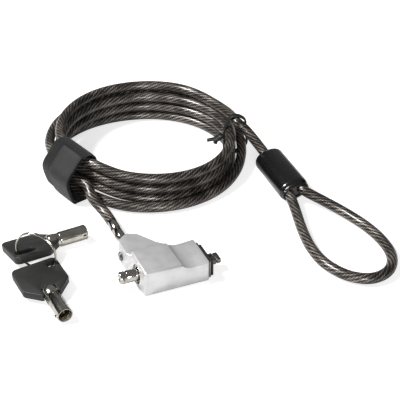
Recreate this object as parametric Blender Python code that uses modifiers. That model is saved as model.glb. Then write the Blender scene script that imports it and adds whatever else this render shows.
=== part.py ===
# Laptop cable lock: T-bar lock head, coiled steel cable with eye loop, and two tubular keys.
# Lengths are written in millimetres and scaled to metres by MM.
# Frame: origin under the middle of the lock head, +X along the lock barrel towards the T-bar,
# +Y towards the cable, +Z up, and everything rests on Z = 0.

import bmesh
import bpy
import numpy as np
from math import cos, pi, radians, sin
from mathutils import Euler, Matrix, Vector

MM = 0.001
GAP = 0.3  # clearance between neighbouring pieces

# ---- cable ----
CABLE_D = 6.0
COIL_CENTRE = (30.1, 116.7)
COIL_RADIUS = 52.3  # of the inner column of loops
COIL_PITCH = 6.6  # from one layer to the next
COIL_SIDE = 6.6  # how far outside that column the first lap runs
COIL_TURNS = 4.602
COIL_START = 206.0  # degrees, where the lead joins the pile
POINTS_PER_LOOP = 24

# ---- bands round the pile ----
STRAP_ANGLE = 196.5
STRAP_WIDTH = 28.0
STRAP_THICKNESS = 1.6
TIE_ANGLE = -16.0
TIE_WIDTH = 2.6
TIE_THICKNESS = 0.9

# ---- lock head ----
HEAD_LENGTH = 36.0
HEAD_DEPTH = 22.4
HEAD_HEIGHT = 14.6
HEAD_EDGE = 1.3  # rounding of the casting's edges
WING_HEIGHT = 13.0
BARREL_Z = 7.0  # height of the lock barrel's axis
BAR_Y = -1.5  # the T-bar's axis lies a little beside and below the barrel's
BAR_Z = 6.0
PIVOT_Y = 20.0
PIVOT_Z = 5.5
EYE_X = -14.6  # middle of the swivel eye
EYE_WIDTH = 4.2
FERRULE_START = 32.9
FERRULE_LENGTH = 20.1

# ---- loop sleeve ----
SLEEVE_FAR = (95.3, 79.5, 7.4)
SLEEVE_NEAR = (93.6, 38.5, 7.4)
SLEEVE_WIDTH = 18.0
SLEEVE_THICKNESS = 13.4
SLEEVE_ROLL = 14.0
STRAND_SPACING = 8.2  # between the two strands that leave the near end

# ---- keys ----
KEY_BARREL_D = 8.4
KEY_BORE_D = 6.9
KEY_HEAD_LENGTH = 27.0
KEY_HEAD_WIDTH = 25.5
KEY_HEAD_THICKNESS = 4.2
KEY_SHANK = 4.8  # how far the barrel is sunk in the head
KEY_REACH = 18.5  # from the head to the open end of the barrel
RING_RADIUS = 11.5
RING_WIRE = 1.6
RING_CENTRE = (-63.4, 32.6, 12.4)
RING_HEADING = -42.1  # degrees, direction of the ring's plane seen from above

PARTS = None
CUTTERS = None


# ---------------------------------------------------------------- helpers

def start_scene():
    global PARTS, CUTTERS
    for obj in list(bpy.data.objects):
        bpy.data.objects.remove(obj, do_unlink=True)
    PARTS = bpy.data.collections.new("laptop_cable_lock")
    CUTTERS = bpy.data.collections.new("cutters")
    bpy.context.scene.collection.children.link(PARTS)
    bpy.context.scene.collection.children.link(CUTTERS)


def make_material(name, colour, roughness, metallic):
    material = bpy.data.materials.new(name)
    material.use_nodes = True
    shader = material.node_tree.nodes["Principled BSDF"]
    shader.inputs["Base Color"].default_value = (*colour, 1.0)
    shader.inputs["Roughness"].default_value = roughness
    shader.inputs["Metallic"].default_value = metallic
    return material


def add_mesh(name, bm, scale=MM):
    """A new object from a bmesh that was drawn in millimetres."""
    bmesh.ops.scale(bm, vec=(scale, scale, scale), verts=bm.verts)
    mesh = bpy.data.meshes.new(name)
    bm.to_mesh(mesh)
    bm.free()
    return bpy.data.objects.new(name, mesh)


def finish(obj, material, sharp=35.0):
    """Put a piece in the parts collection with its material and smooth shading."""
    PARTS.objects.link(obj)
    obj.data.materials.append(material)
    if obj.type == "MESH":
        obj.data.shade_smooth()
        obj.data.set_sharp_from_angle(angle=radians(sharp))
    return obj


def as_cutter(obj):
    CUTTERS.objects.link(obj)
    obj.hide_render = True
    obj.display_type = "WIRE"
    return obj


def boolean(obj, operation, *others):
    for other in others:
        modifier = obj.modifiers.new(operation.lower() + "_" + other.name, "BOOLEAN")
        modifier.operation = operation
        modifier.solver = "EXACT"
        modifier.object = other


def bevel(obj, width, segments):
    modifier = obj.modifiers.new("rounded_edges", "BEVEL")
    modifier.width = width * MM
    modifier.segments = segments
    modifier.limit_method = "ANGLE"
    modifier.angle_limit = radians(30)


def box(name, low, high):
    bm = bmesh.new()
    bmesh.ops.create_cube(bm, size=1.0)
    size = [b - a for a, b in zip(low, high)]
    middle = [(a + b) / 2 for a, b in zip(low, high)]
    bmesh.ops.scale(bm, vec=size, verts=bm.verts)
    bmesh.ops.translate(bm, vec=middle, verts=bm.verts)
    return add_mesh(name, bm)


def rod(name, start, end, radius, sides=32, end_radius=None):
    """A solid cylinder or cone between two points."""
    start, end = Vector(start), Vector(end)
    bm = bmesh.new()
    bmesh.ops.create_cone(
        bm, cap_ends=True, segments=sides, radius1=radius,
        radius2=radius if end_radius is None else end_radius, depth=(end - start).length)
    turn = Vector((0, 0, 1)).rotation_difference(end - start).to_matrix()
    bmesh.ops.rotate(bm, matrix=turn, verts=bm.verts)
    bmesh.ops.translate(bm, vec=(start + end) / 2, verts=bm.verts)
    return add_mesh(name, bm)


def turned(name, profile, sides=32):
    """A turned piece about +Z from (radius, height) pairs that run down the outer side."""
    mesh = bpy.data.meshes.new(name)
    count = len(profile)
    points = [(r * MM, 0, z * MM) for r, z in profile]
    edges = [(i, i + 1) for i in range(count - 1)]
    if profile[0][0] or profile[-1][0]:
        edges.append((count - 1, 0))
    mesh.from_pydata(points, edges, [])
    obj = bpy.data.objects.new(name, mesh)
    screw = obj.modifiers.new("turn", "SCREW")
    screw.steps = sides
    screw.render_steps = sides
    screw.use_merge_vertices = True
    screw.merge_threshold = 0.00001
    screw.use_smooth_shade = True
    return obj


def lay_along_x(obj, at=(0, 0, 0)):
    """Turn a piece made about +Z so that its axis runs along +X."""
    obj.rotation_euler = (0, pi / 2, 0)
    obj.location = Vector(at) * MM
    return obj


def plate(name, outline, thickness):
    """A flat outline in XY, extruded to both sides of Z = 0 and made a welded mesh."""
    curve = bpy.data.curves.new(name, "CURVE")
    curve.dimensions = "2D"
    curve.fill_mode = "BOTH"
    curve.extrude = thickness / 2 * MM
    curve.resolution_u = 1
    curve.render_resolution_u = 0
    spline = curve.splines.new("POLY")
    spline.points.add(len(outline) - 1)
    for point, (x, y) in zip(spline.points, outline):
        point.co = (x * MM, y * MM, 0, 1)
    spline.use_cyclic_u = True
    return curve_to_mesh(name, curve)


def curve_to_mesh(name, curve):
    guide = bpy.data.objects.new(name + "_curve", curve)
    bpy.context.scene.collection.objects.link(guide)
    graph = bpy.context.evaluated_depsgraph_get()
    mesh = bpy.data.meshes.new_from_object(guide.evaluated_get(graph))
    mesh.name = name
    bm = bmesh.new()
    bm.from_mesh(mesh)
    bmesh.ops.remove_doubles(bm, verts=bm.verts, dist=0.000001)
    bm.to_mesh(mesh)
    bm.free()
    obj = bpy.data.objects.new(name, mesh)
    obj.matrix_world = guide.matrix_world
    bpy.data.objects.remove(guide, do_unlink=True)
    return obj


def rounded_outline(half_x, half_y, radius, steps=5):
    """Corner arcs of a rounded rectangle, anticlockwise."""
    outline = []
    for quarter, (sx, sy) in enumerate(((1, 1), (-1, 1), (-1, -1), (1, -1))):
        for step in range(steps + 1):
            angle = (quarter + step / steps) * pi / 2
            outline.append((sx * (half_x - radius) + radius * cos(angle),
                            sy * (half_y - radius) + radius * sin(angle)))
    return outline


def tube(name, points, diameter, resolution):
    """A round tube along the given points, with filled ends."""
    curve = bpy.data.curves.new(name, "CURVE")
    curve.dimensions = "3D"
    curve.bevel_depth = diameter / 2 * MM
    curve.bevel_resolution = resolution
    curve.use_fill_caps = True
    curve.resolution_u = 1
    curve.render_resolution_u = 0
    spline = curve.splines.new("POLY")
    spline.points.add(len(points) - 1)
    for point, place in zip(spline.points, points):
        point.co = (*[c * MM for c in place], 1)
    return bpy.data.objects.new(name, curve)


def smooth(x):
    x = min(max(x, 0.0), 1.0)
    return x * x * (3 - 2 * x)


def smooth_route(route, spacing):
    """Evenly spaced points on a Catmull-Rom curve through hand-chosen points.

    The first and the last leg stay straight, so that the ends meet their neighbours squarely.
    """
    knots = [np.array(p, float) for p in route]
    fine = []
    for a, b, c, d in zip(knots, knots[1:], knots[2:], knots[3:]):
        for t in np.linspace(0, 1, 20, endpoint=False):
            fine.append(0.5 * (2 * b + (c - a) * t + (2 * a - 5 * b + 4 * c - d) * t * t
                               + (3 * b - a - 3 * c + d) * t ** 3))
    fine = np.array(fine + [knots[-2]])
    run = np.concatenate([[0], np.cumsum(np.linalg.norm(np.diff(fine, axis=0), axis=1))])
    count = max(2, int(round(run[-1] / spacing)) + 1)
    even = np.linspace(0, run[-1], count)
    middle = [tuple(np.interp(s, run, fine[:, k]) for k in range(3)) for s in even]
    return [route[0]] + middle + [route[-1]]


# ---------------------------------------------------------------- cable

def coil_points(per_loop=POINTS_PER_LOOP):
    """The pile of loops, clockwise seen from above, from the lead to the tail."""
    points = []
    steps = int(round(COIL_TURNS * per_loop))
    for lap in np.linspace(0, COIL_TURNS, steps + 1):
        angle = radians(COIL_START - 360 * lap)
        radius = COIL_RADIUS
        height = CABLE_D / 2
        for layer in (1, 2, 3):
            height += COIL_PITCH * smooth((lap - layer - 0.72) / 0.34)
        # the first lap comes in high on the outside, drops to the floor and then moves in
        height += 2 * COIL_PITCH * (1 - smooth((lap - 0.43) / 0.345))
        radius += COIL_SIDE * (1 - smooth((lap - 1.13) / 0.245))
        radius -= 2.6 * smooth((lap - 0.80) / 0.2) * (1 - smooth((lap - 1.04) / 0.14))
        height -= 3.0 * max(0.0, 1 - lap / 0.08)
        # the last half lap bulges at the back, and its end turns out towards the sleeve
        radius += 3.5 * smooth((lap - 4.12) / 0.2) * (1 - smooth((lap - 4.42) / 0.12))
        radius += 4.5 * smooth((lap - 4.50) / 0.2)
        # the strap passes below the pile and lifts it there
        from_strap = abs((COIL_START - 360 * lap - STRAP_ANGLE + 180) % 360 - 180)
        height += (STRAP_THICKNESS + GAP) * (1 - smooth((from_strap - 17) / 26))
        # and so does the tie
        from_tie = abs((COIL_START - 360 * lap - TIE_ANGLE + 180) % 360 - 180)
        height += (TIE_THICKNESS + GAP) * (1 - smooth((from_tie - 6) / 18))
        points.append((COIL_CENTRE[0] + radius * cos(angle),
                       COIL_CENTRE[1] + radius * sin(angle), height))
    return points


def straight_end(points, length):
    """Add a straight run in the direction in which the route ends."""
    last, before = np.array(points[-1]), np.array(points[-2])
    step = (last - before) / np.linalg.norm(last - before)
    return points + [tuple(last + step * length)]


def print_least_gap(points):
    spots = np.array(points)
    least = 1e9
    for i in range(len(spots)):
        apart = np.abs(np.arange(len(spots)) - i) > POINTS_PER_LOOP // 4
        least = min(least, np.linalg.norm(spots[apart] - spots[i], axis=1).min())
    print("least gap of the coil to itself: %.2f mm" % (least - CABLE_D))


def step_along(start, towards, length):
    start, towards = np.array(start, float), np.array(towards, float)
    return tuple(start + (towards - start) / np.linalg.norm(towards - start) * length)


def make_cable(jacket):
    coil = coil_points()
    coil = straight_end(coil[::-1], CABLE_D)[::-1]
    coil = straight_end(coil, CABLE_D)
    print_least_gap(coil)
    finish(tube("cable_coil", coil, CABLE_D, 1), jacket)
    before = step_along(coil[0], coil[1], -GAP)
    lead = [before, step_along(before, coil[0], -CABLE_D), (-20.0, 76.0, 12.0), (-18.2, 70.6, 9.4),
            (-16.0, 64.8, 6.9),
            (EYE_X, FERRULE_START + FERRULE_LENGTH + GAP + CABLE_D, PIVOT_Z),
            (EYE_X, FERRULE_START + FERRULE_LENGTH + GAP, PIVOT_Z)]
    finish(tube("cable_lead", smooth_route(lead, 4.5), CABLE_D, 2), jacket)
    finish(tube("cable_tail", smooth_route(tail_route(), 4.5), CABLE_D, 2), jacket)
    finish(tube("cable_loop", smooth_route(loop_route(), 6.0), CABLE_D, 2), jacket)


def tail_route():
    """From the end of the pile down into the sleeve."""
    coil = straight_end(coil_points(), CABLE_D)
    after = step_along(coil[-1], coil[-2], -GAP)
    return [after, step_along(after, coil[-1], -CABLE_D / 2), (87.4, 97.2, 20.6), (91.0, 91.6, 15.2),
            (94.3, 85.6, 9.8), sleeve_point(0, 0, SLEEVE_LENGTH / 2 + 1),
            sleeve_point(0, 0, CRIMP_LENGTH / 2 + GAP)]


def loop_route():
    """Out of the sleeve, round the eye and back in."""
    half = STRAND_SPACING / 2
    inside = -CRIMP_LENGTH / 2 - GAP
    lip = -SLEEVE_LENGTH / 2 - 1
    return [
        sleeve_point(-half, 0, inside), sleeve_point(-half, 0, lip),
        (86.9, 24.0, 4.0), (82.6, 8.0, 3.2), (79.2, -9.0, 3.2), (79.4, -25.0, 3.2),
        (85.5, -39.5, 3.2), (96.0, -46.5, 3.2), (107.5, -44.0, 3.2), (115.6, -34.0, 3.2),
        (118.4, -20.0, 3.2), (117.4, -4.0, 3.2), (112.6, 12.0, 3.8), (105.6, 26.0, 5.4),
        sleeve_point(half, 0, lip), sleeve_point(half, 0, inside)]


# ---------------------------------------------------------------- loop sleeve

SLEEVE_LENGTH = float(np.linalg.norm(np.subtract(SLEEVE_FAR, SLEEVE_NEAR)))
CRIMP_LENGTH = 24.0
CRIMP_WIDTH = 14.6
CRIMP_THICKNESS = 8.6


def sleeve_matrix():
    """Local +Z runs from the near end to the far end, local +X across the width."""
    near, far = Vector(SLEEVE_NEAR), Vector(SLEEVE_FAR)
    along = (far - near).normalized()
    across = Vector((0, 0, 1)).cross(along).normalized() * -1
    up = along.cross(across)
    across, up = (across * cos(radians(SLEEVE_ROLL)) + up * -sin(radians(SLEEVE_ROLL)),
                  across * sin(radians(SLEEVE_ROLL)) + up * cos(radians(SLEEVE_ROLL)))
    turn = Matrix((across, up, along)).transposed().to_4x4()
    return Matrix.Translation((near + far) / 2) @ turn


def sleeve_point(x, y, z):
    return tuple(sleeve_matrix() @ Vector((x, y, z)))


def oval_rod(name, width, thickness, length, edge, sides=36):
    bm = bmesh.new()
    bmesh.ops.create_cone(bm, cap_ends=True, segments=sides, radius1=0.5, radius2=0.5, depth=length)
    bmesh.ops.scale(bm, vec=(width, thickness, 1), verts=bm.verts)
    obj = add_mesh(name, bm)
    if edge:
        bevel(obj, edge, 3)
    return obj


def place(obj, matrix):
    obj.matrix_world = Matrix.Translation(matrix.to_translation() * MM) @ matrix.to_3x3().to_4x4()
    return obj


def make_sleeve(rubber, aluminium):
    matrix = sleeve_matrix()
    sleeve = oval_rod("loop_sleeve", SLEEVE_WIDTH, SLEEVE_THICKNESS, SLEEVE_LENGTH, 2.6)
    cavity = as_cutter(oval_rod(
        "sleeve_cavity", CRIMP_WIDTH + 2 * GAP, CRIMP_THICKNESS + 2 * GAP, CRIMP_LENGTH + 2 * GAP, 0))
    place(cavity, matrix)
    hole = CABLE_D / 2 + GAP
    reach = SLEEVE_LENGTH / 2 + 4
    half = STRAND_SPACING / 2
    holes = [("tail_hole", 0, reach), ("strand_hole_1", -half, -reach), ("strand_hole_2", half, -reach)]
    for name, x, z in holes:
        cutter = as_cutter(rod(name, sleeve_point(x, 0, 0), sleeve_point(x, 0, z), hole, 24))
        boolean(sleeve, "DIFFERENCE", cutter)
    boolean(sleeve, "DIFFERENCE", cavity)
    finish(place(sleeve, matrix), rubber)
    crimp = oval_rod("loop_crimp", CRIMP_WIDTH, CRIMP_THICKNESS, CRIMP_LENGTH, 0.8)
    finish(place(crimp, matrix), aluminium)


# ---------------------------------------------------------------- strap and tie

def ring_frame(angle):
    """Local +X points outwards from the pile at this angle, +Y up and +Z along the cable."""
    turn = radians(angle)
    outward, up = Vector((cos(turn), sin(turn), 0)), Vector((0, 0, 1))
    matrix = Matrix((outward, up, outward.cross(up))).transposed().to_4x4()
    return Matrix.Translation((*COIL_CENTRE, 0)) @ matrix


def strands_at(matrix, width):
    """Where the cable crosses a band of this width, in the band's own plane."""
    back = matrix.inverted()
    spots = []
    points = [Vector(p) for p in coil_points() + tail_route()[:4]]
    for a, b in zip(points, points[1:]):
        for step in range(6):
            spot = back @ a.lerp(b, step / 6)
            if abs(spot.z) < width / 2 + 2 and spot.x > 0:
                spots.append(Vector((spot.x, spot.y)))
    return spots


def hull_outline(spots, radius, steps=36):
    """The outline of a band pulled tight round circles of this radius."""
    outline = []
    for step in range(steps):
        angle = 2 * pi * (step + 0.5) / steps
        way = Vector((cos(angle), sin(angle)))
        outline.append(tuple(max(spots, key=way.dot) + way * radius))
    return outline


def band(name, matrix, width, thickness):
    """A closed band round the pile of loops."""
    spots = strands_at(matrix, width)
    inside = CABLE_D / 2 + GAP
    outer = plate(name, hull_outline(spots, inside + thickness), width)
    inner = plate(name + "_inside", hull_outline(spots, inside), width + 4)
    as_cutter(place(inner, matrix))
    boolean(outer, "DIFFERENCE", inner)
    return place(outer, matrix)


def make_strap_and_tie(fabric, black):
    strap = band("strap", ring_frame(STRAP_ANGLE), STRAP_WIDTH, STRAP_THICKNESS)
    finish(strap, fabric)
    finish(band("tie", ring_frame(TIE_ANGLE), TIE_WIDTH, TIE_THICKNESS), black)


# ---------------------------------------------------------------- lock head

def head_block():
    """The main body of the casting: a block whose left end leans out towards the base."""
    left, right = -HEAD_LENGTH / 2, HEAD_LENGTH / 2
    front, back = -HEAD_DEPTH / 2, HEAD_DEPTH / 2
    bm = bmesh.new()
    bmesh.ops.create_cube(bm, size=2.0)
    for vert in bm.verts:
        low = vert.co.z < 0
        behind = vert.co.y > 0
        x = right if vert.co.x > 0 else left
        if low and vert.co.x < 0:
            x -= 2.4 if behind else 0.8
        y = (back if behind else front) + ((0.3 if behind else -0.3) if low else 0)
        vert.co = (x, y, 0 if low else HEAD_HEIGHT)
    return add_mesh("housing", bm)


def dent_cutter():
    """The scoop for the thumb: a steep left wall that fades out to the right."""
    wall, floor, end = 2.2, 8.8, 20.0
    top, bottom, right_height = HEAD_HEIGHT + 0.4, 11.3, 12.0
    profile = []
    for step in range(9):
        angle = step / 8 * pi / 2
        profile.append((floor - (floor - wall) * cos(angle), top - (top - bottom) * sin(angle)))
    for step in range(1, 5):
        part = step / 4
        profile.append((floor + (end - floor) * part, bottom + (right_height - bottom) * smooth(part)))
    profile += [(end + 6, right_height), (end + 6, top + 6), (wall, top + 6)]
    cutter = plate("thumb_dent", [(x, z) for x, z in profile], HEAD_DEPTH + 24)
    cutter.matrix_world = Euler((0, 0, radians(2))).to_matrix().to_4x4() @ \
        Matrix.Rotation(pi / 2, 4, "X")
    return as_cutter(cutter)


def wing():
    """The rear wing that holds the cable fitting."""
    outline = [(-20.3, 24.9), (-20.3, 11.5), (-16.0, 5.0), (2.5, 6.0), (2.5, 12.0),
               (-1.7, 16.0), (-8.8, 27.2), (-14.4, 29.2)]
    piece = plate("wing", outline, WING_HEIGHT)
    piece.location = (0, 0, WING_HEIGHT / 2 * MM)
    bevel(piece, 0.7, 2)
    return as_cutter(piece)


def make_housing(casting):
    housing = head_block()
    bevel(housing, HEAD_EDGE, 3)
    boolean(housing, "UNION", wing())
    axis = (0, BARREL_Z)
    tongue = EYE_WIDTH / 2 + 0.5
    cuts = [
        dent_cutter(),
        rod("barrel_bore", (-24, *axis), (2.5, *axis), 5.3),
        rod("spindle_bore", (2.4, BAR_Y, BAR_Z), (21, BAR_Y, BAR_Z), 3.95, 28),
        box("fitting_slot", (EYE_X - tongue, 14.5, -1), (EYE_X + tongue, 34, 11.5)),
        rod("pivot_hole", (-24, PIVOT_Y, PIVOT_Z), (-8.2, PIVOT_Y, PIVOT_Z), 1.8, 20),
        rod("pin_hole", (-13.0, 0, -1), (-13.0, 0, 2.4), 1.1, 16),
        box("left_groove", (-22, 10.5, 11.2), (-19.9, 24.4, 11.8)),
    ]
    for side, y in enumerate((-7.6, 7.6), 1):
        cuts.append(rod("screw_hole_%d" % side, (11, y, BARREL_Z), (21, y, BARREL_Z), 1.2, 16))
    tail_relief = box("tail_relief", (-30, 0, -12), (10, 30, 0))
    tail_relief.matrix_world = Matrix.Translation((0, PIVOT_Y * MM, 0)) @ \
        Euler((radians(22), 0, 0)).to_matrix().to_4x4()
    cuts.append(tail_relief)
    for cutter in cuts:
        boolean(housing, "DIFFERENCE", cutter if cutter.hide_render else as_cutter(cutter))
    finish(housing, casting, 28)


def make_head_fittings(steel, chrome, rubber, brass):
    axis = BARREL_Z
    barrel = turned("lock_barrel", [(5.0, 2.2), (5.0, -18.3), (4.3, -18.3), (4.3, 0.4),
                                    (1.9, 0.4), (1.9, 2.2)])
    pin_notch = as_cutter(rod("pin_notch", (-13.0, 0, 1), (-13.0, 0, 3.4), 1.1, 16))
    boolean(barrel, "DIFFERENCE", pin_notch)
    finish(lay_along_x(barrel, (0, 0, axis)), steel)
    finish(rod("barrel_pin", (-13.0, 0, 0.3), (-13.0, 0, 2.3), 0.8, 16), steel)
    pin = turned("pivot_pin", [(0, -8.6), (1.5, -8.6), (1.5, -20.7), (2.5, -20.7), (2.5, -21.2),
                               (2.0, -21.6), (0, -21.6)], 24)
    finish(lay_along_x(pin, (0, PIVOT_Y, PIVOT_Z)), chrome)
    guard = box("guard_plate", (18.4, -10.0, 1.0), (19.3, 9.2, 11.0))
    for side in (-1, 1):
        near, far = sorted((BAR_Y + side * 1.75, BAR_Y + side * 3.35))
        lug = as_cutter(box("guard_lug_%d" % (side + 1), (18.8, near, BAR_Z - 1.3), (24.5, far, BAR_Z + 1.3)))
        boolean(guard, "UNION", lug)
    boolean(guard, "DIFFERENCE", as_cutter(
        rod("neck_hole", (17, BAR_Y, BAR_Z), (26, BAR_Y, BAR_Z), 1.75, 24)))
    for side, y in enumerate((-7.6, 7.6), 1):
        boolean(guard, "DIFFERENCE", as_cutter(
            rod("plate_hole_%d" % side, (17, y, axis), (22, y, axis), 1.2, 16)))
        screw = turned("plate_screw_%d" % side, [(0, 19.2), (0.9, 19.2), (0.9, 12.2), (0, 12.2)], 16)
        finish(lay_along_x(screw, (0, y, axis)), steel)
    finish(guard, steel)
    gasket = plate("gasket", rounded_outline(4.8, 9.5, 2.2), 1.0)
    gasket.matrix_world = Matrix.Translation((20.1 * MM, -1.0 * MM, 6.0 * MM)) @ \
        Matrix.Rotation(pi / 2, 4, "Y")
    boolean(gasket, "DIFFERENCE", as_cutter(box(
        "gasket_slot", (17, BAR_Y - 3.7, BAR_Z - 1.75), (23, BAR_Y + 3.7, BAR_Z + 1.75))))
    finish(gasket, rubber)
    plug = turned("lock_plug", [(4.0, -4.2), (4.0, -8.6), (1.95, -8.6), (1.95, -4.2)])
    lay_along_x(plug, (0, 0, axis))
    for number in range(4):
        angle = radians(45 + 90 * number)
        y, z = 2.98 * cos(angle), axis + 2.98 * sin(angle)
        boolean(plug, "DIFFERENCE", as_cutter(
            rod("tumbler_hole_%d" % (number + 1), (-10, y, z), (-3, y, z), 0.75, 12)))
        tumbler = rod("tumbler_%d" % (number + 1), (-8.9, y, z), (-4.3, y, z), 0.45, 12)
        finish(tumbler, brass)
    finish(plug, brass)


def make_plunger_and_t_bar(chrome, steel):
    axis = BARREL_Z
    plunger = turned("plunger", [(0, 9.0), (1.1, 9.0), (1.1, -14.3), (3.4, -14.3), (3.4, -24.6),
                                 (3.0, -24.9), (3.0, -25.6), (3.4, -25.9), (3.4, -27.8),
                                 (2.9, -28.3), (0, -28.3)])
    finish(lay_along_x(plunger, (0, 0, axis)), chrome)
    # the spindle is hollow, and the plunger's stem works inside it
    t_bar = turned("t_bar", [(0, 26.0), (1.45, 26.0), (1.45, 17.9), (3.75, 17.9), (3.75, 3.0),
                             (3.1, 3.0), (3.1, 16.2), (0, 16.2)])
    lay_along_x(t_bar, (0, BAR_Y, BAR_Z))
    cross = box("t_cross", (24.9, BAR_Y - 3.4, BAR_Z - 1.4), (27.5, BAR_Y + 3.4, BAR_Z + 1.4))
    bevel(cross, 0.5, 2)
    boolean(t_bar, "UNION", as_cutter(cross))
    finish(t_bar, steel)
    turns, radius, wire = 4, 1.35, 0.4
    start, end = 9.3 + wire / 2, 15.9 - wire / 2
    count = turns * 10
    points = [(start + (end - start) * i / count, BAR_Y + radius * cos(2 * pi * turns * i / count),
               BAR_Z + radius * sin(2 * pi * turns * i / count)) for i in range(count + 1)]
    finish(tube("plunger_spring", points, wire, 1), steel)


def make_cable_fitting(chrome):
    """The eye on the pivot pin and the ferrule that is crimped on the cable."""
    half = EYE_WIDTH / 2
    eye = rod("swivel_eye", (EYE_X - half, PIVOT_Y, PIVOT_Z), (EYE_X + half, PIVOT_Y, PIVOT_Z), 4.2)
    shank = as_cutter(rod("eye_shank", (EYE_X, PIVOT_Y + 1, PIVOT_Z), (EYE_X, 32.6, PIVOT_Z), 2.0, 24))
    spigot = as_cutter(rod("eye_spigot", (EYE_X, 30, PIVOT_Z), (EYE_X, 37, PIVOT_Z), 1.3, 20))
    hole = as_cutter(rod("eye_hole", (EYE_X - 4, PIVOT_Y, PIVOT_Z), (EYE_X + 4, PIVOT_Y, PIVOT_Z), 1.8, 24))
    boolean(eye, "UNION", shank, spigot)
    boolean(eye, "DIFFERENCE", hole)
    finish(eye, chrome)
    length = FERRULE_LENGTH
    ferrule = turned("lead_ferrule", [
        (0, length), (2.7, length), (2.85, length - 0.3), (2.85, length - 6.5), (2.55, length - 7.0),
        (2.55, length - 8.2), (2.85, length - 8.7), (2.85, 4.2), (2.4, 3.0), (2.4, 0), (1.6, 0),
        (1.6, 4.6), (0, 4.6)], 28)
    ferrule.rotation_euler = (-pi / 2, 0, 0)
    ferrule.location = Vector((EYE_X, FERRULE_START, PIVOT_Z)) * MM
    finish(ferrule, chrome)


# ---------------------------------------------------------------- keys

def key_matrix(junction, heading, pitch, roll):
    """Local +X runs along the barrel to its open end, +Y across the head."""
    turn = Euler((radians(roll), radians(pitch), radians(heading))).to_matrix().to_4x4()
    return Matrix.Translation(junction) @ turn


KEY_A = key_matrix((-48.95, 48.67, 4.8), 6.6, 0.9, -12.3)
KEY_B = key_matrix((-63.93, 3.4, 4.65), -84.8, 0.7, 2.8)


def make_key(name, matrix, slot_centre, slot_half, plastic, nickel):
    """One tubular key: a moulded head and a barrel with an open end."""
    half = KEY_HEAD_WIDTH / 2
    back = -KEY_HEAD_LENGTH
    outline = [(0.4, -5.2), (0.4, 5.2), (-6.5, half - 0.8), (-8.5, half)]
    outline += [(back + 3.0, half), (back + 0.9, half - 0.9), (back, half - 3.0)]
    outline += [(x, -y) for x, y in reversed(outline[2:])]
    head = plate(name + "_head", outline, KEY_HEAD_THICKNESS)
    bevel(head, 0.6, 2)
    place(head, matrix)
    slot = plate(name + "_slot", [(x + slot_centre[0], y + slot_centre[1]) for x, y in
                                  rounded_outline(slot_half[0], slot_half[1], min(slot_half) - 0.2)],
                 KEY_HEAD_THICKNESS + 4)
    as_cutter(place(slot, matrix))
    seat = as_cutter(rod(name + "_seat", matrix @ Vector((-KEY_SHANK - GAP, 0, 0)),
                         matrix @ Vector((4, 0, 0)), KEY_BARREL_D / 2 + GAP))
    boolean(head, "DIFFERENCE", slot, seat)
    finish(head, plastic)
    outer, inner = KEY_BARREL_D / 2, KEY_BORE_D / 2
    barrel = turned(name + "_barrel", [
        (inner, KEY_REACH), (outer - 0.3, KEY_REACH), (outer, KEY_REACH - 0.4), (outer, 2.6),
        (outer - 0.9, 1.8), (outer - 0.9, 0.6), (outer, -0.2), (outer, -KEY_SHANK + 1.6),
        (outer - 0.5, -KEY_SHANK + 0.5), (outer - 1.6, -KEY_SHANK), (0, -KEY_SHANK),
        (0, KEY_REACH - 11), (inner, KEY_REACH - 11)])
    upright = Matrix.Rotation(pi / 2, 4, "Y")
    place(barrel, matrix @ upright)
    finish(barrel, nickel)


def make_keys(plastic, nickel, steel):
    make_key("key_a", KEY_A, (-19.4, -6.8), (5.8, 2.7), plastic, nickel)
    make_key("key_b", KEY_B, (-22.4, 8.6), (2.8, 3.3), plastic, nickel)
    bpy.ops.mesh.primitive_torus_add(
        major_radius=RING_RADIUS * MM, minor_radius=RING_WIRE / 2 * MM, major_segments=48,
        minor_segments=10)
    ring = bpy.context.object
    for collection in list(ring.users_collection):
        collection.objects.unlink(ring)
    ring.name = "key_ring"
    ring.data.name = "key_ring"
    ring.rotation_euler = (pi / 2, 0, radians(RING_HEADING))
    ring.location = Vector(RING_CENTRE) * MM
    finish(ring, steel)


# ---------------------------------------------------------------- joints

def hang(name, point, *pieces):
    """An empty on a joint's axis that carries the pieces that move about it."""
    pivot = bpy.data.objects.new(name, None)
    PARTS.objects.link(pivot)
    pivot.location = Vector(point) * MM
    pivot.empty_display_size = 0.005
    for piece in pieces:
        obj = bpy.data.objects[piece]
        obj.parent = pivot
        obj.matrix_parent_inverse = Matrix.Translation(-pivot.location)


def hang_pieces():
    hang("cable_pivot_axis", (EYE_X, PIVOT_Y, PIVOT_Z), "housing", "pivot_pin", "lock_barrel",
         "barrel_pin", "guard_plate", "plate_screw_1", "plate_screw_2", "gasket")
    hang("plunger_axis", (0, 0, BARREL_Z), "plunger", "plunger_spring")
    hang("t_bar_axis", (10, BAR_Y, BAR_Z), "t_bar")
    hang("plug_axis", (-6.5, 0, BARREL_Z), "lock_plug", "tumbler_1", "tumbler_2", "tumbler_3", "tumbler_4")
    hang("key_a_axis", (-70.7, 39.2, 6.5), "key_a_head", "key_a_barrel")
    hang("key_b_axis", (-56.7, 26.6, 5.3), "key_b_head", "key_b_barrel")


# ---------------------------------------------------------------- build

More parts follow.
